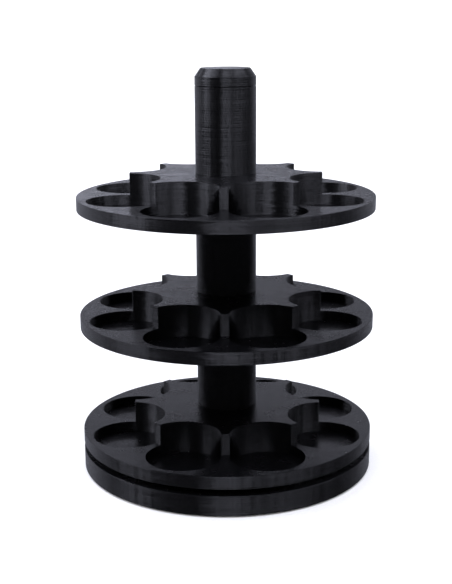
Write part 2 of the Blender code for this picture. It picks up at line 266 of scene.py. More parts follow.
# How far, as a slope, the details of a wall lean its surface
BEAD_LEAN = 0.9
TUBE_BEAD_LEAN = 0.7
BAND_LEAN = 0.26
BEAT_LEAN = 0.16
SIDE_LEAN = 0.12
STREAK_SHARES = (0.65, 1.25)  # of a bead's lean, in the darkest and the lightest streaks
BEAT = 1.3 * MM  # height of one swing in the layers' lean
WANDER_SHIFT = 12.0  # radians by which a noise shifts the layers
BEAT_SHIFT = 6.0
WAVE_RELIEF = 0.03 * MM
SEAM_RELIEF = 0.1 * MM
SEAM_WIDTHS = (0.25 * MM, 0.5 * MM)

# Noise scales on a wall, in steps a metre along x, y and z
WANDER_SCALES = (20.0, 20.0, 700.0)
BAND_SCALES = (15.0, 15.0, 1400.0)
UNEVEN_SCALES = (120.0, 120.0, 1200.0)
WAVE_SCALES = (110.0, 110.0, 30.0)
STREAK_SCALES = (420.0, 420.0, 12.0)
JITTER_SCALES = (0.0, 0.0, 2200.0)

# Relief and noise scales on a flat top
LINE_RELIEF = 0.003 * MM
STRAND_RELIEF = 0.05 * MM
GRAIN_RELIEF = 0.07 * MM
TOP_WAVE_RELIEF = 0.15 * MM
STRAND_ACROSS = 1100.0
STRAND_ALONG = 90.0
GRAIN_SCALE = 800.0
TOP_WAVE_SCALE = 90.0
LOOP_COUNT = 3  # printed loops along each edge


def plastic_colour(graph, place, dark, light):
    mottle = graph.noise(place, MOTTLE_SCALE, 3.0, 0.6)
    return graph.mix(mottle, (*dark, 1), (*light, 1))


def seam_ridge(graph, place, seam_angle):
    """1 on the upright ridge where the layers start, 0 away from it."""
    x, y, _ = graph.add("SeparateXYZ", {0: place}).outputs
    away = graph.math("SUBTRACT", graph.math("ARCTAN2", y, x), seam_angle)
    wrapped = graph.math("ABSOLUTE", graph.math("WRAP", away, math.pi, -math.pi))
    distance = graph.math("MULTIPLY", wrapped, graph.length_of(graph.joined(x, y, 0.0)))
    jitter = graph.stretched_noise(place, JITTER_SCALES, 1.0)
    edge = graph.remap(jitter, 0.2, 0.8, *SEAM_WIDTHS)
    return graph.remap(distance, 0.0, edge, 1.0, 0.0)


def printed_wall(name, seam_angle, bead_lean=BEAD_LEAN):
    """Black plastic whose layer lines spread a highlight up and down, with a seam where each
    layer starts."""
    made, graph, shader = new_material(name)
    place = object_place(graph)
    z = graph.add("SeparateXYZ", {0: place}).outputs[2]

    # each layer is a rounded bead, which leans the surface up and down, and wanders a little
    wander = graph.stretched_noise(place, WANDER_SCALES)
    bands = graph.stretched_noise(place, BAND_SCALES, 2.0, 0.6)
    uneven = graph.stretched_noise(place, UNEVEN_SCALES, 2.0, 0.6)
    waves = graph.stretched_noise(place, WAVE_SCALES)
    streaks = graph.stretched_noise(place, STREAK_SCALES, 2.0, 0.6)
    weakest, strongest = (share * bead_lean for share in STREAK_SHARES)
    lean = graph.remap(streaks, 0.3, 0.7, weakest, strongest)
    beads = graph.wave(z, LAYER, graph.math("MULTIPLY", wander, WANDER_SHIFT))
    beats = graph.wave(z, BEAT, graph.math("MULTIPLY", waves, BEAT_SHIFT))
    upward = graph.math("MULTIPLY", beads, lean)
    upward = graph.math("ADD", upward, graph.remap(bands, 0.2, 0.8, -BAND_LEAN, BAND_LEAN))
    upward = graph.math("ADD", upward, graph.math("MULTIPLY", beats, BEAT_LEAN))
    sideways = graph.remap(uneven, 0.0, 1.0, -SIDE_LEAN, SIDE_LEAN)

    surface = graph.add("NewGeometry").outputs["Normal"]
    along = graph.vector("CROSS_PRODUCT", surface, (0.0, 0.0, 1.0))
    leaning = graph.vector("ADD", surface, graph.joined(0.0, 0.0, upward))
    aside = graph.add("VectorMath", {0: along, "Scale": sideways}, operation="SCALE").outputs[0]
    normal = graph.vector("NORMALIZE", graph.vector("ADD", leaning, aside))
    normal = graph.bump(waves, WAVE_RELIEF, normal)
    normal = graph.bump(seam_ridge(graph, place, seam_angle), SEAM_RELIEF, normal)

    shade = plastic_colour(graph, place, PLASTIC_DARK, PLASTIC_LIGHT)
    graph.feed(shader.inputs["Base Color"], shade)
    gloss = graph.remap(uneven, 0.25, 0.75, WALL_ROUGHNESS - 0.04, WALL_ROUGHNESS + 0.04)
    graph.feed(shader.inputs["Roughness"], gloss)
    graph.feed(shader.inputs["Normal"], normal)
    graph.feed(shader.inputs["Tangent"], along)
    shader.inputs["IOR"].default_value = PLASTIC_IOR
    shader.inputs["Anisotropic"].default_value = 1.0
    shader.inputs["Anisotropic Rotation"].default_value = WALL_GRAIN
    return made


def printed_top(name, raster_turn=1.0, sheen=0.5):
    """Black plastic with loops along the edges of a flat top and slanted lines inside them."""
    made, graph, shader = new_material(name)
    place = object_place(graph)
    x, y, _ = graph.add("SeparateXYZ", {0: place}).outputs
    level = graph.joined(x, y, 0.0)
    radius = graph.length_of(level)
    angle = graph.math("ARCTAN2", y, x)
    folded = graph.math("SUBTRACT", graph.math("WRAP", angle, SECTOR, 0.0), SECTOR / 2)
    along = graph.math("MULTIPLY", radius, graph.math("COSINE", folded))
    across = graph.math("MULTIPLY", radius, graph.math("SINE", folded))
    from_pocket = graph.joined(graph.math("SUBTRACT", along, POCKET_CIRCLE), across, 0.0)
    nearest = graph.math("SUBTRACT", graph.length_of(from_pocket), POCKET_RADIUS)
    nearest = graph.math("ABSOLUTE", nearest)
    for edge_radius in (HUB_RADIUS, TRAY_RADIUS, POST_RADIUS):
        to_edge = graph.math("ABSOLUTE", graph.math("SUBTRACT", radius, edge_radius))
        nearest = graph.math("MINIMUM", nearest, to_edge)

    slanted = graph.math("ADD", x, graph.math("MULTIPLY", y, raster_turn))
    lengthwise = graph.math("SUBTRACT", y, graph.math("MULTIPLY", x, raster_turn))
    inside = graph.math("GREATER_THAN", nearest, LOOP_COUNT * LINE)
    loops = graph.math("SINE", graph.math("MULTIPLY", nearest, math.tau / LINE))
    raster = graph.math("SINE", graph.math("MULTIPLY", slanted, math.tau / LINE / math.sqrt(2)))
    lines = graph.mix(inside, loops, raster)
    strand = graph.joined(
        graph.math("MULTIPLY", slanted, STRAND_ACROSS),
        graph.math("MULTIPLY", lengthwise, STRAND_ALONG), 0.0,
    )
    strands = graph.noise(strand, 1.0, 2.0, 0.6)
    grain = graph.noise(place, GRAIN_SCALE, 2.0, 0.7)
    waves = graph.noise(place, TOP_WAVE_SCALE, 3.0, 0.6)

    normal = graph.bump(lines, LINE_RELIEF)
    normal = graph.bump(strands, STRAND_RELIEF, normal)
    normal = graph.bump(grain, GRAIN_RELIEF, normal)
    normal = graph.bump(waves, TOP_WAVE_RELIEF, normal)
    # painted light: the top's colour is lighter than the walls' plastic to stand for the light it
    # catches
    shade = plastic_colour(graph, place, PAINTED_LIT_TOP_DARK, PAINTED_LIT_TOP_LIGHT)
    graph.feed(shader.inputs["Base Color"], shade)
    gloss = graph.remap(waves, 0.3, 0.7, TOP_ROUGHNESS - 0.04, TOP_ROUGHNESS + 0.05)
    graph.feed(shader.inputs["Roughness"], gloss)
    graph.feed(shader.inputs["Normal"], normal)
    shader.inputs["IOR"].default_value = PLASTIC_IOR
    shader.inputs["Specular IOR Level"].default_value = sheen
    return made


def rubber(name):
    made, graph, shader = new_material(name)
    place = object_place(graph)
    grain = graph.noise(place, 2500.0, 3.0, 0.7)
    dust = graph.noise(place, 260.0, 4.0, 0.6)
    shade = graph.ramp(dust, ((0.35, (0.011, 0.011, 0.011)), (0.75, (0.035, 0.034, 0.033))))
    graph.feed(shader.inputs["Base Color"], shade)
    graph.feed(shader.inputs["Roughness"], graph.remap(grain, 0.3, 0.7, 0.72, 0.9))
    graph.feed(shader.inputs["Normal"], graph.bump(grain, 0.03 * MM))
    return made


def moulded(name, dark, light, roughness):
    """Moulded plastic with a fine even grain."""
    made, graph, shader = new_material(name)
    place = object_place(graph)
    grain = graph.noise(place, 1800.0, 3.0, 0.6)
    tone = graph.noise(place, 180.0, 3.0, 0.55)
    graph.feed(shader.inputs["Base Color"], graph.mix(tone, (*dark, 1), (*light, 1)))
    gloss = graph.remap(grain, 0.3, 0.7, roughness - 0.06, roughness + 0.06)
    graph.feed(shader.inputs["Roughness"], gloss)
    graph.feed(shader.inputs["Normal"], graph.bump(grain, 0.012 * MM))
    return made


def ground_steel(name, colour, roughness, lathe):
    """Steel with turning marks, which run around the axis, and slight tarnish."""
    made, graph, shader = new_material(name)
    shader.inputs["Metallic"].default_value = 1.0
    place = object_place(graph)
    x, y, z = graph.add("SeparateXYZ", {0: place}).outputs
    radius = graph.length_of(graph.joined(x, y, 0.0))
    profile = graph.joined(
        graph.math("MULTIPLY", radius, lathe), 0.0, graph.math("MULTIPLY", z, lathe)
    )
    marks = graph.noise(profile, 1.0, 3.0, 0.6)
    tarnish = graph.noise(place, 220.0, 4.0, 0.6)
    dark = tuple(0.8 * shade for shade in colour)
    graph.feed(shader.inputs["Base Color"], graph.mix(tarnish, (*dark, 1), (*colour, 1)))
    gloss = graph.remap(marks, 0.3, 0.7, 0.7 * roughness, 1.4 * roughness)
    graph.feed(shader.inputs["Roughness"], gloss)
    graph.feed(shader.inputs["Normal"], graph.bump(marks, 0.006 * MM))
    return made


# Shapes


def rounded(outline):
    """The points of an outline of (radius, height, fillet), with an arc at each fillet."""
    points = []
    for number, (radius, height, fillet) in enumerate(outline):
        here = Vector((radius, height))
        if not fillet:
            points.append(here)
            continue
        before = Vector(outline[number - 1][:2]) - here
        after = Vector(outline[(number + 1) % len(outline)][:2]) - here
        half = before.angle(after) / 2
        reach = fillet / math.tan(half)
        start = here + before.normalized() * reach
        end = here + after.normalized() * reach
        inward = (before.normalized() + after.normalized()).normalized()
        centre = here + inward * (fillet / math.sin(half))
        sweep = math.pi - 2 * half
        for step in range(EDGE_STEPS + 1):
            share = step / EDGE_STEPS
            first = math.sin((1 - share) * sweep) / math.sin(sweep)
            second = math.sin(share * sweep) / math.sin(sweep)
            points.append(centre + first * (start - centre) + second * (end - centre))
    return points


def turned(outline, steps):
    """A closed outline of (radius, height, fillet) turned around Z."""
    shape = bmesh.new()
    corners = [shape.verts.new((max(radius, 0), 0, height)) for radius, height in rounded(outline)]
    sides = [shape.edges.new(pair) for pair in zip(corners, corners[1:])]
    if outline[0][0] > 0:
        sides.append(shape.edges.new((corners[-1], corners[0])))
    bmesh.ops.spin(
        shape, geom=corners + sides, cent=(0, 0, 0), axis=(0, 0, 1), angle=math.tau,
        steps=steps, use_merge=True,
    )
    bmesh.ops.remove_doubles(shape, verts=shape.verts, dist=1e-7)
    return shape


def angles_around(count, first=0.0):
    for number in range(count):
        yield first + number * math.tau / count


def groove_arc(face, level, groove, inward):
    """The points of a round groove in a face, for a ball that runs at a level. The first point is
    the one further from the axis."""
    half = math.acos(abs(level - face) / groove)
    for step in range(GROOVE_STEPS + 1):
        angle = half - 2 * half * step / GROOVE_STEPS
        yield RACE_RADIUS + groove * math.sin(angle), level + inward * groove * math.cos(angle), 0


class Builder:
    """Faces from points, where equal points share a vertex."""

    def __init__(self):
        self.shape = bmesh.new()
        self.known = {}

    def corner(self, point):
        key = tuple(round(value, 7) for value in point)
        if key not in self.known:
            self.known[key] = self.shape.verts.new(point)
        return self.known[key]

    def face(self, points):
        corners = []
        for point in points:
            corner = self.corner(point)
            if corner not in corners:
                corners.append(corner)
        if len(corners) > 2:
            self.shape.faces.new(corners)

    def wall(self, line, levels):
        """Upright faces along a line of (x, y) points, from each level to the next."""
        for low, high in zip(levels, levels[1:]):
            for (ax, ay), (bx, by) in zip(line, line[1:]):
                self.face([(ax, ay, low), (bx, by, low), (bx, by, high), (ax, ay, high)])

    def flat(self, line, level):
        self.face([(x, y, level) for x, y in line])


def arc(radius, start, end, steps, centre=(0.0, 0.0)):
    """Points of (x, y) on an arc."""
    points = []
    for step in range(steps + 1):
        angle = start + (end - start) * step / steps
        points.append((centre[0] + radius * math.cos(angle), centre[1] + radius * math.sin(angle)))
    return points


def tray_shape(floor, first_tier):
    """A tray and its star hub as one closed body: walls, tops and the bore, sector by sector."""
    top = floor + TRAY_THICKNESS
    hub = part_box("top_tray")[1].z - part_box("top_tray")[0].z + floor
    pocket_floor = top - POCKET_DEPTH
    socket = hub - SPIGOT_LENGTH
    core = [(SOCKET_RADIUS, hub, 0), (SOCKET_RADIUS, socket, 0), (ROD_HOLE_RADIUS, socket, 0)]
    if first_tier:
        race_level = (floor + BASE_RIM_TOP) / 2
        core += [(ROD_HOLE_RADIUS, SPACER_RECESS_TOP, 0), (SPACER_RECESS_RADIUS, SPACER_RECESS_TOP, 0)]
        core += [(SPACER_RECESS_RADIUS, floor, 0)]
        core += reversed(list(groove_arc(floor, race_level, RACE_GROOVE_RADIUS, 1)))
    else:
        core += [(ROD_HOLE_RADIUS, floor + SPIGOT_LENGTH, 0), (SOCKET_RADIUS, floor + SPIGOT_LENGTH, 0)]
        core += [(SOCKET_RADIUS, floor, 0)]

    squares = POCKET_CIRCLE**2 + POCKET_RADIUS**2 - HUB_RADIUS**2
    corner = math.acos(squares / (2 * POCKET_CIRCLE * POCKET_RADIUS))
    made = Builder()
    for number in range(POCKET_COUNT):
        tip, next_tip = number * SECTOR, (number + 1) * SECTOR
        middle = (tip + next_tip) / 2
        centre = (POCKET_CIRCLE * math.cos(middle), POCKET_CIRCLE * math.sin(middle))
        inward = middle + math.pi
        inner = arc(POCKET_RADIUS, inward + corner, inward - corner, POCKET_INNER_STEPS, centre)
        outer_end = inward - corner + math.tau
        outer = arc(POCKET_RADIUS, inward + corner, outer_end, POCKET_OUTER_STEPS, centre)
        tip_half = math.atan2(inner[0][1], inner[0][0]) - tip
        tip_half = math.atan2(math.sin(tip_half), math.cos(tip_half))
        rising = arc(HUB_RADIUS, tip, tip + tip_half, 2)
        falling = arc(HUB_RADIUS, next_tip - tip_half, next_tip, 2)
        rising[-1] = inner[0]
        falling[0] = inner[-1]
        rim = arc(TRAY_RADIUS, tip, next_tip, RIM_PER_POCKET)
        bore = arc(core[0][0], tip, next_tip, ARC_PER_POCKET)
        underside = arc(core[-1][0], tip, next_tip, ARC_PER_POCKET)

        made.flat(rising + inner[1:-1] + falling + bore[::-1], hub)
        made.flat(rim + falling[::-1] + outer[::-1] + rising[::-1], top)
        made.flat(inner + outer[::-1][1:-1], pocket_floor)
        made.flat(rim + underside[::-1], floor)
        made.wall(inner, (pocket_floor, top, hub))
        made.wall(outer, (pocket_floor, top))
        made.wall(rising, (top, hub))
        made.wall(falling, (top, hub))
        made.wall(rim, (floor, top))
        for (radius, level, _), (next_radius, next_level, _) in zip(core, core[1:]):
            line = arc(radius, tip, next_tip, ARC_PER_POCKET)
            next_line = arc(next_radius, tip, next_tip, ARC_PER_POCKET)
            for step in range(ARC_PER_POCKET):
                made.face([
                    (*line[step], level), (*line[step + 1], level),
                    (*next_line[step + 1], next_level), (*next_line[step], next_level),
                ])
    shape = made.shape
    bmesh.ops.recalc_face_normals(shape, faces=shape.faces)
    soften(shape, EDGE)
    return shape


def soften(shape, size):
    """Rounds each sharp edge that stands out."""
    sharp = [
        edge for edge in shape.edges
        if len(edge.link_faces) == 2 and edge.is_convex and edge.calc_face_angle() > SOFTENED_ANGLE
    ]
    bmesh.ops.bevel(
        shape, geom=sharp, offset=size, offset_type="OFFSET", segments=2, profile=0.5,
        affect="EDGES", clamp_overlap=True,
    )


# Pieces


def mesh_of(name, shape, finishes):
    """A mesh of the shape: the second finish, where there is one, is for faces that look up
    or down."""
    bmesh.ops.recalc_face_normals(shape, faces=shape.faces)
    if len(finishes) > 1:
        for face in shape.faces:
            face.material_index = 1 if abs(face.normal.z) > LEVEL_NORMAL else 0
    mesh = bpy.data.meshes.new(name)
    shape.to_mesh(mesh)
    shape.free()
    for finish in finishes:
        mesh.materials.append(finish)
    mesh.shade_smooth()
    mesh.set_sharp_from_angle(angle=SHARP_ANGLE)
    return mesh


def stand_for(node, mesh, at=(0, 0, 0)):
    """The fine piece in a CAD node's place: it rides on the node's body, and the node is hidden."""
    piece = bpy.data.objects.new(f"{node}_fine", mesh)
    piece.location = at
    bpy.context.scene.collection.objects.link(piece)
    even = piece.modifiers.new("even_shading", "WEIGHTED_NORMAL")
    even.keep_sharp = True
    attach(piece, BODY_OF[node])
    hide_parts(node)
    return piece


def combined(mesh, tool_shape, operation):
    """The mesh with the tool's shape cut from it or joined to it."""
    target = bpy.data.objects.new("target", mesh)
    tool_mesh = bpy.data.meshes.new("tool")
    bmesh.ops.recalc_face_normals(tool_shape, faces=tool_shape.faces)
    tool_shape.to_mesh(tool_mesh)
    tool_shape.free()
    tool = bpy.data.objects.new("tool", tool_mesh)
    for one in (target, tool):
        bpy.context.scene.collection.objects.link(one)
    boolean = target.modifiers.new("boolean", "BOOLEAN")
    boolean.operation = operation
    boolean.solver = "EXACT"
    boolean.object = tool
    graph = bpy.context.evaluated_depsgraph_get()
    result = bpy.data.meshes.new_from_object(target.evaluated_get(graph))
    bpy.data.objects.remove(target)
    bpy.data.objects.remove(tool)
    result.set_sharp_from_angle(angle=SHARP_ANGLE)
    return result


def block(angle, inner, outer, width, low, high):
    """A box that points away from the axis at an angle."""
    shape = bmesh.new()
    middle = Matrix.Translation(((inner + outer) / 2, 0, (low + high) / 2))
    size = Matrix.Diagonal((outer - inner, width, high - low, 1))
    bmesh.ops.create_cube(shape, size=1, matrix=Matrix.Rotation(angle, 4, "Z") @ middle @ size)
    return shape


def cylinders(places, radius, low, high):
    shape = bmesh.new()
    for place in places:
        at = Matrix.Translation((place.x, place.y, (low + high) / 2))
        bmesh.ops.create_cone(
            shape, cap_ends=True, segments=SMALL_STEPS, radius1=radius, radius2=radius,
            depth=high - low, matrix=at,
        )
    return shape


def trays():
    seams = (math.radians(100), math.radians(-68.6), math.radians(-135.5))
    sheens = (0.5, 0.26, 0.45)  # from the bottom tray up
    for tier, node in enumerate(("bottom_tray", "middle_tray", "top_tray")):
        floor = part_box(node)[0].z
        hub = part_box(node)[1].z
        finishes = (
            printed_wall(f"{node}_wall", seams[tier]),
            printed_top(f"{node}_top", raster_turn=1 - 2 * (tier % 2), sheen=sheens[tier]),
        )
        mesh = mesh_of(node, tray_shape(floor, tier == 0), finishes)
        slots = [(hub - SPIGOT_LENGTH, hub + OVERSHOOT)]
        if tier > 0:
            slots.append((floor - OVERSHOOT, floor + SPIGOT_LENGTH))
        for low, high in slots:
            tool = block(KEY_ANGLE, KEY_ROOT, KEY_RADIUS + GAP, KEY_WIDTH + 2 * GAP, low, high)
            mesh = combined(mesh, tool, "DIFFERENCE")
        stand_for(node, mesh)


def post_tubes():
    """Each tube reaches down to the star and up to the tray above, so no gap shows. Only the seam
    below the cap stays open."""
    for number, node in enumerate(("lower_post_tube", "middle_post_tube", "upper_post_tube")):
        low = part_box(node)[0].z + SPIGOT_LENGTH
        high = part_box(node)[1].z - SPIGOT_LENGTH
        web_top = high - WEB_DROP
        reach = 0 if node == "upper_post_tube" else GAP
        outline = [
            (TUBE_BORE_RADIUS, low - SPIGOT_LENGTH, 0),
            (SPIGOT_RADIUS, low - SPIGOT_LENGTH, SPIGOT_EDGE),
            (SPIGOT_RADIUS, low - GAP, 0),
            (POST_RADIUS, low - GAP, SHOULDER_EDGE),
            (POST_RADIUS, high + reach, SHOULDER_EDGE),
            (SPIGOT_RADIUS, high + reach, 0),
            (SPIGOT_RADIUS, high + SPIGOT_LENGTH, SPIGOT_EDGE),
            (TUBE_BORE_RADIUS, high + SPIGOT_LENGTH, 0),
            (TUBE_BORE_RADIUS, web_top, 0),
            (ROD_HOLE_RADIUS, web_top, EDGE),
            (ROD_HOLE_RADIUS, web_top - WEB_THICKNESS, EDGE),
            (TUBE_BORE_RADIUS, web_top - WEB_THICKNESS, 0),
        ]
        seam = math.radians(160 + 20 * number)
        finishes = (printed_wall(f"{node}_wall", seam, TUBE_BEAD_LEAN), printed_top(f"{node}_top"))
        mesh = mesh_of(node, turned(outline, TUBE_STEPS), finishes)
        key_length = SPIGOT_LENGTH - GAP
        for start in (low - key_length, high):
            tool = block(KEY_ANGLE, KEY_ROOT, KEY_RADIUS, KEY_WIDTH, start, start + key_length)
            mesh = combined(mesh, tool, "UNION")
        stand_for(node, mesh)


def chamfer_layers(radius, low, top_radius, high):
    """A slope as its printed layers leave it: each has a small upright face and a slanted one."""
    count = round((high - low) / LAYER)
    inset = (radius - top_radius) / count
    height = (high - low) / count
    for layer in range(count):
        yield radius - layer * inset, low + layer * height, 0
        yield radius - layer * inset, low + (layer + UPRIGHT_SHARE) * height, 0
    yield top_radius, high, 0


def cap():
    low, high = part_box("top_cap")[0].z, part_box("top_cap")[1].z
    ceiling = low + SPIGOT_LENGTH
    outline = [
        (0, ceiling, 0),
        (SOCKET_RADIUS, ceiling, 0),
        (SOCKET_RADIUS, low, EDGE),
        (POST_RADIUS, low, EDGE),
        *chamfer_layers(POST_RADIUS, high - CAP_CHAMFER_HEIGHT, CAP_TOP_RADIUS, high),
        (0, high, 0),
    ]
    wall = printed_wall("top_cap_wall", math.radians(150), TUBE_BEAD_LEAN)
    mesh = mesh_of("top_cap", turned(outline, TUBE_STEPS), (wall, printed_top("top_cap_top")))
    width = KEY_WIDTH + 2 * GAP
    tool = block(KEY_ANGLE, KEY_ROOT, KEY_RADIUS + GAP, width, low - OVERSHOOT, ceiling)
    stand_for("top_cap", combined(mesh, tool, "DIFFERENCE"))


def base():
    low, boss_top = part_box("base_plate")[0].z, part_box("base_plate")[1].z
    race_level = (BASE_RIM_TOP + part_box("bottom_tray")[0].z) / 2
    outline = [
        (BEARING_LIP_RADIUS, low, EDGE),
        (TRAY_RADIUS, low, EDGE / 2),
        (TRAY_RADIUS, BASE_RIM_TOP, EDGE),
        *groove_arc(BASE_RIM_TOP, race_level, RACE_GROOVE_RADIUS, -1),
        (BOSS_RADIUS, BASE_RIM_TOP, 0),
        (BOSS_RADIUS, boss_top, EDGE),
        (BEARING_SEAT_RADIUS, boss_top, EDGE),
        (BEARING_SEAT_RADIUS, BEARING_SEAT_FLOOR, 0),
        (BEARING_LIP_RADIUS, BEARING_SEAT_FLOOR, EDGE),
    ]
    finishes = (printed_wall("base_wall", math.radians(-33)), printed_top("base_top"))
    mesh = mesh_of("base_plate", turned(outline, POCKET_COUNT * RIM_PER_POCKET), finishes)
    places = [foot_place(number) for number in range(1, FOOT_COUNT + 1)]
    tool = cylinders(places, FOOT_RECESS_RADIUS, low - OVERSHOOT, FOOT_RECESS_TOP)
    stand_for("base_plate", combined(mesh, tool, "DIFFERENCE"))


def foot_place(number):
    low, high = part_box(f"rubber_foot_{number}")
    return Vector(((low.x + high.x) / 2, (low.y + high.y) / 2, 0))


def feet():
    low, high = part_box("rubber_foot_1")
    radius = (high.x - low.x) / 2
    dish = FOOT_DISH_SHARE * radius
    outline = [
        (0, FOOT_DISH_DEPTH, 0),
        (dish, FOOT_DISH_DEPTH, 0.1 * MM),
        (dish + 0.5 * MM, 0, 0.1 * MM),
        (radius, 0, 0.5 * MM),
        (radius, high.z, 0.15 * MM),
        (0, high.z, 0),
    ]
    mesh = mesh_of("rubber_foot", turned(outline, SMALL_STEPS), (rubber("foot_rubber_fine"),))
    for number in range(1, FOOT_COUNT + 1):
        stand_for(f"rubber_foot_{number}", mesh, foot_place(number))


def balls(name, count, finish, subdivisions):
    low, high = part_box(f"{name}_1")
    shape = bmesh.new()
    bmesh.ops.create_icosphere(shape, subdivisions=subdivisions, radius=(high.z - low.z) / 2)
    mesh = mesh_of(name, shape, (finish,))
    for number in range(1, count + 1):
        low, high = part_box(f"{name}_{number}")
        stand_for(f"{name}_{number}", mesh, (low + high) / 2)


def race_cage():
    low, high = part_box("race_cage")
    inner = 2 * RACE_RADIUS - high.x
    outline = [
        (inner, low.z, EDGE), (high.x, low.z, EDGE), (high.x, high.z, EDGE), (inner, high.z, EDGE),
    ]
    finish = moulded("race_cage_fine", (0.022, 0.022, 0.024), (0.034, 0.034, 0.037), 0.48)
    mesh = mesh_of("race_cage", turned(outline, CAGE_STEPS), (finish,))
    places = [
        Vector((RACE_RADIUS * math.cos(angle), RACE_RADIUS * math.sin(angle), 0))
        for angle in angles_around(RACE_BALL_COUNT)
    ]
    tool = cylinders(places, CAGE_HOLE_RADIUS, low.z - OVERSHOOT, high.z + OVERSHOOT)
    stand_for("race_cage", combined(mesh, tool, "DIFFERENCE"))


def ball_groove(outward, edge_radius, level):
    """The points of the round groove in a bearing ring's face, from low to high."""
    half = math.acos(abs(edge_radius - BEARING_BALL_CIRCLE) / BEARING_GROOVE_RADIUS)
    for step in range(BALL_GROOVE_STEPS + 1):
        angle = -half + 2 * half * step / BALL_GROOVE_STEPS
        radius = BEARING_BALL_CIRCLE + outward * BEARING_GROOVE_RADIUS * math.cos(angle)
        yield radius, level + BEARING_GROOVE_RADIUS * math.sin(angle), 0


def bearing():
    steel = ground_steel("bearing_ring_steel", (0.60, 0.60, 0.62), 0.2, 9000.0)
    low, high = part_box("bearing_outer_ring")
    level = (low.z + high.z) / 2
    outer = [
        (high.x, low.z, EDGE), (high.x, high.z, EDGE), (OUTER_RING_BORE, high.z, 0),
        *reversed(list(ball_groove(1, OUTER_RING_BORE, level))), (OUTER_RING_BORE, low.z, 0),
    ]
    mesh = mesh_of("bearing_outer_ring", turned(outer, RING_STEPS), (steel,))
    stand_for("bearing_outer_ring", mesh)
    low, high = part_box("bearing_inner_ring")
    inner = [
        (BEARING_BORE_RADIUS, low.z, EDGE), (high.x, low.z, 0),
        *ball_groove(-1, high.x, level),
        (high.x, high.z, 0), (BEARING_BORE_RADIUS, high.z, EDGE),
    ]
    mesh = mesh_of("bearing_inner_ring", turned(inner, RING_STEPS), (steel,))
    stand_for("bearing_inner_ring", mesh)

    low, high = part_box("bearing_cage")
    ring_low = high.z - CROWN_HEIGHT
    inner_radius = high.x - CROWN_WIDTH
    soft = 0.1 * MM
    crown = [
        (inner_radius, ring_low, soft), (high.x, ring_low, soft),
        (high.x, high.z, soft), (inner_radius, high.z, soft),
    ]
    nylon = moulded("cage_nylon", (0.50, 0.45, 0.35), (0.60, 0.55, 0.45), 0.45)
    mesh = mesh_of("bearing_cage", turned(crown, RING_STEPS), (nylon,))
    for angle in angles_around(BEARING_BALL_COUNT, math.pi / BEARING_BALL_COUNT):
        finger = block(
            angle, inner_radius + GAP / 2, high.x - GAP / 2, CROWN_FINGER_WIDTH,
            low.z, (ring_low + high.z) / 2,
        )
        mesh = combined(mesh, finger, "UNION")
    stand_for("bearing_cage", mesh)


def washers(zinc):
    for node in ("lower_washer", "upper_washer", "bearing_spacer"):
        low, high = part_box(node)
        hole = WASHER_HOLE_RADIUS
        soft = 0.2 * MM
        outline = [
            (hole, low.z, soft), (high.x, low.z, soft), (high.x, high.z, soft), (hole, high.z, soft),
        ]
        stand_for(node, mesh_of(node, turned(outline, SMALL_STEPS), (zinc,)))


def nuts(zinc):
    """Hexagons with turned corners and a plain hole."""
    corner = NUT_ACROSS_FLATS / math.sqrt(3)
    for node in ("lower_nut", "upper_nut"):
        low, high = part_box(node)[0].z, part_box(node)[1].z
        hole = NUT_HOLE_RADIUS
        outline = [
            (hole, low + NUT_MOUTH, 0), (hole + NUT_MOUTH, low, 0),
            (corner - NUT_CORNER_INSET, low, 0), (corner, low + NUT_CORNER_HEIGHT, 0),
            (corner, high - NUT_CORNER_HEIGHT, 0), (corner - NUT_CORNER_INSET, high, 0),
            (hole + NUT_MOUTH, high, 0), (hole, high - NUT_MOUTH, 0),
        ]
        mesh = mesh_of(node, turned(outline, RING_STEPS), (zinc,))
        hexagon = bmesh.new()
        bmesh.ops.create_cone(
            hexagon, cap_ends=True, segments=6, radius1=corner, radius2=corner,
            depth=2 * (high - low), matrix=Matrix.Translation((0, 0, (low + high) / 2)),
        )
        stand_for(node, combined(mesh, hexagon, "INTERSECT"))


def rod(zinc):
    """A stud: threaded at its two ends, plain between them."""
    low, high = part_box("tie_rod")
    radius = high.x
    root = radius - THREAD_DEPTH
    outline = [(0, low.z, 0), (root, low.z, 0)]
    threads = ((low.z, low.z + LOWER_THREAD_LENGTH), (high.z - UPPER_THREAD_LENGTH, high.z))
    for start, end in threads:
        turns = int((end - start) / THREAD_PITCH) - 1
        for turn in range(turns):
            level = start + (turn + 0.5) * THREAD_PITCH
            outline.append((root, level, 0))
            outline += [(radius, level + share * THREAD_PITCH, 0) for share in THREAD_CREST]
    outline += [(root, high.z - 0.3 * MM, 0), (root, high.z, 0), (0, high.z, 0)]
    stand_for("tie_rod", mesh_of("tie_rod", turned(outline, ROD_STEPS), (zinc,)))


# Studio

CAMERA_DISTANCE = 646.8 * MM
CAMERA_HEIGHT = 265.1 * MM
CAMERA_TURN = math.radians(1.05)
CAMERA_TILT = math.radians(13.994)
CAMERA_ROLL = math.radians(-0.3)
CAMERA_SHIFT_ASIDE = -0.24 * MM
CAMERA_LENS = 69.71
SENSOR_WIDTH = 36
FLOOR_RADIUS = 3.0

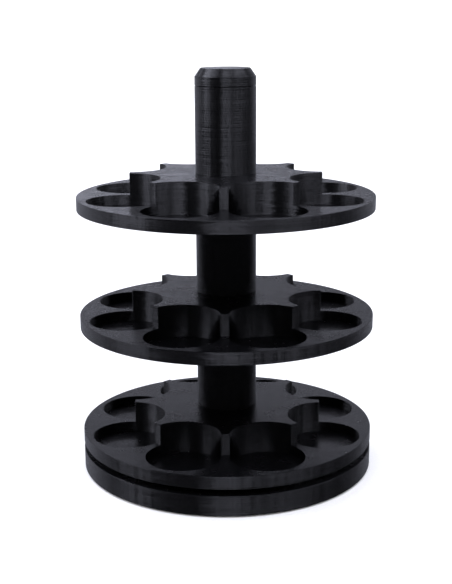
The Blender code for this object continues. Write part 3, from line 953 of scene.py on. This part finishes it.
# Each place in front of the object is known by the wall that mirrors it to the camera: how far
# right of the camera that wall faces, and how far it leans back. LAMPS and LOW_SURROUNDINGS
# hold degrees to the right and how bright it is there. The lamps are above.
TO_CAMERA = (0.0, -0.95, 0.3)
LOW_SURROUNDINGS = (
    (-90, 0.25), (-80, 0.3), (-66, 0.4), (-56, 0.3), (-48, 0.05), (48, 0.03), (60, 0.15), (68, 0.28),
    (90, 0.28),
)
LAMPS = (
    (-90, 0.1), (-62, 0.2), (-54, 0.25), (-49, 0.33), (-46.5, 0.75), (-43, 1.0), (-35, 1.0),
    (-32, 0.75), (-29, 0.3), (-25, 0.12), (-20, 0.05), (-11, 0.05), (-8, 0.28), (-6, 0.7), (-3, 1.1),
    (0, 1.2), (5, 1.0), (9, 0.82), (12, 0.5), (15, 0.4), (17, 0.52), (22.5, 0.64), (27, 0.5),
    (33, 0.34), (38, 0.16), (50, 0.1), (60, 0.1), (90, 0.1),
)
LAMP_STRENGTH = 4.5
LAMPS_FROM = math.radians(32)  # lean of the walls that mirror the lamps' lower edges
LAMPS_FULL = math.radians(34.5)
LAMPS_FADE = math.radians(44)
LAMPS_END = math.radians(52)
# The backdrop, by degrees above the horizon, which slants a little
BACKDROP = (
    (-90, 0.3), (-3, 0.5), (1, 1.5), (4, 1.3), (6, 0.35), (9, 0.15), (12, 0.05), (15.5, 0.05),
    (17, 0.7), (19.5, 0.85), (21, 0.4), (25, 0.2), (40, 0.3), (90, 0.3),
)
BACKDROP_SLANT = 0.38
# Lamps above the backdrop, by degrees right of straight back, and how much of them shows by
# degrees above the horizon
REAR_LAMPS = (
    (-90, 0.2), (-78, 0.4), (-60, 0.9), (-38, 1.5), (-26, 0.4), (-12, 0.15), (2, 0.5), (24, 0.6),
    (34, 0.2), (50, 0.15), (62, 1.0), (80, 0.7), (90, 0.2),
)
REAR_HEIGHT = ((38, 0.0), (46, 1.0), (64, 1.0), (76, 0.1))
STUDIO_TINT = (0.93, 0.95, 1.13)
PAPER_LIGHT = 1.5  # of the plain white that the camera and matt surfaces see


def studio():
    """A world of soft lamps above the object and a pale backdrop behind it. It is plain white
    where the camera sees it."""
    world = bpy.data.worlds.new("studio")
    bpy.context.scene.world = world
    world.use_nodes = True
    graph = Graph(world.node_tree)
    background = world.node_tree.nodes["Background"]
    x, y, z = graph.add("SeparateXYZ", {0: graph.add("TexCoord").outputs["Generated"]}).outputs
    half_x, half_y, half_z = graph.add(
        "SeparateXYZ", {0: graph.vector("ADD", graph.joined(x, y, z), TO_CAMERA)}
    ).outputs
    facing = graph.math("ARCTAN2", half_x, graph.math("MULTIPLY", half_y, -1.0))
    level = graph.length_of(graph.joined(half_x, half_y, 0.0))
    lean = graph.math("ARCTAN2", half_z, level)

    low = graph.by_degrees(facing, LOW_SURROUNDINGS)
    lamps = graph.by_degrees(facing, LAMPS)
    lamps = graph.vector("MULTIPLY", lamps, (LAMP_STRENGTH,) * 3)
    rear = graph.by_degrees(graph.math("ARCTAN2", x, y), REAR_LAMPS)
    rear = graph.vector("MULTIPLY", rear, (LAMP_STRENGTH,) * 3)
    rear_share = graph.by_degrees(graph.math("ARCSINE", z), REAR_HEIGHT)
    slanted = graph.math("ADD", z, graph.math("MULTIPLY", x, BACKDROP_SLANT))
    backdrop = graph.by_degrees(graph.math("ARCSINE", slanted), BACKDROP)

    behind = graph.mix(rear_share, backdrop, rear)
    in_front = graph.mix(graph.remap(lean, LAMPS_FROM, LAMPS_FULL, 0.0, 1.0), low, lamps)
    around = graph.mix(graph.remap(lean, LAMPS_FADE, LAMPS_END, 0.0, 1.0), in_front, behind)
    tinted = graph.vector("MULTIPLY", around, STUDIO_TINT)
    path = graph.add("LightPath").outputs
    plain = graph.math("MAXIMUM", path["Is Camera Ray"], path["Is Diffuse Ray"])
    graph.feed(background.inputs["Color"], graph.mix(plain, tinted, (PAPER_LIGHT,) * 3 + (1,)))


def floor():
    shape = bmesh.new()
    bmesh.ops.create_circle(shape, cap_ends=True, segments=96, radius=FLOOR_RADIUS)
    mesh = bpy.data.meshes.new("floor")
    shape.to_mesh(mesh)
    shape.free()
    made, graph, shader = new_material("floor_paper")
    grain = graph.noise(object_place(graph), 600.0, 3.0)
    graph.feed(shader.inputs["Base Color"], graph.ramp(grain, ((0.3, 0.88), (0.7, 0.92))))
    shader.inputs["Roughness"].default_value = 1.0
    shader.inputs["Specular IOR Level"].default_value = 0.0
    mesh.materials.append(made)
    ground = bpy.data.objects.new("floor", mesh)
    ground.visible_glossy = False
    bpy.context.scene.collection.objects.link(ground)


def camera():
    data = bpy.data.cameras.new("camera")
    data.lens = CAMERA_LENS
    data.sensor_width = SENSOR_WIDTH
    made = bpy.data.objects.new("camera", data)
    bpy.context.scene.collection.objects.link(made)
    turn = Matrix.Rotation(CAMERA_TURN, 4, "Z")
    place = turn @ Vector((CAMERA_SHIFT_ASIDE, -CAMERA_DISTANCE, CAMERA_HEIGHT))
    tilt = Matrix.Rotation(math.pi / 2 - CAMERA_TILT, 4, "X")
    roll = Matrix.Rotation(CAMERA_ROLL, 4, "Z")
    made.matrix_world = Matrix.Translation(place) @ turn @ tilt @ roll
    bpy.context.scene.camera = made


def build():
    scene = bpy.context.scene
    scene.view_settings.view_transform = "Standard"
    zinc = ground_steel("zinc_plate", (0.50, 0.52, 0.56), 0.3, 5000.0)
    ball_steel = ground_steel("polished_balls", (0.64, 0.64, 0.65), 0.1, 3000.0)
    trays()
    post_tubes()
    cap()
    base()
    feet()
    race_cage()
    balls("race_ball", RACE_BALL_COUNT, ball_steel, 4)
    bearing()
    balls("bearing_ball", BEARING_BALL_COUNT, ball_steel, 3)
    washers(zinc)
    nuts(zinc)
    rod(zinc)
    studio()
    floor()
    camera()


build()
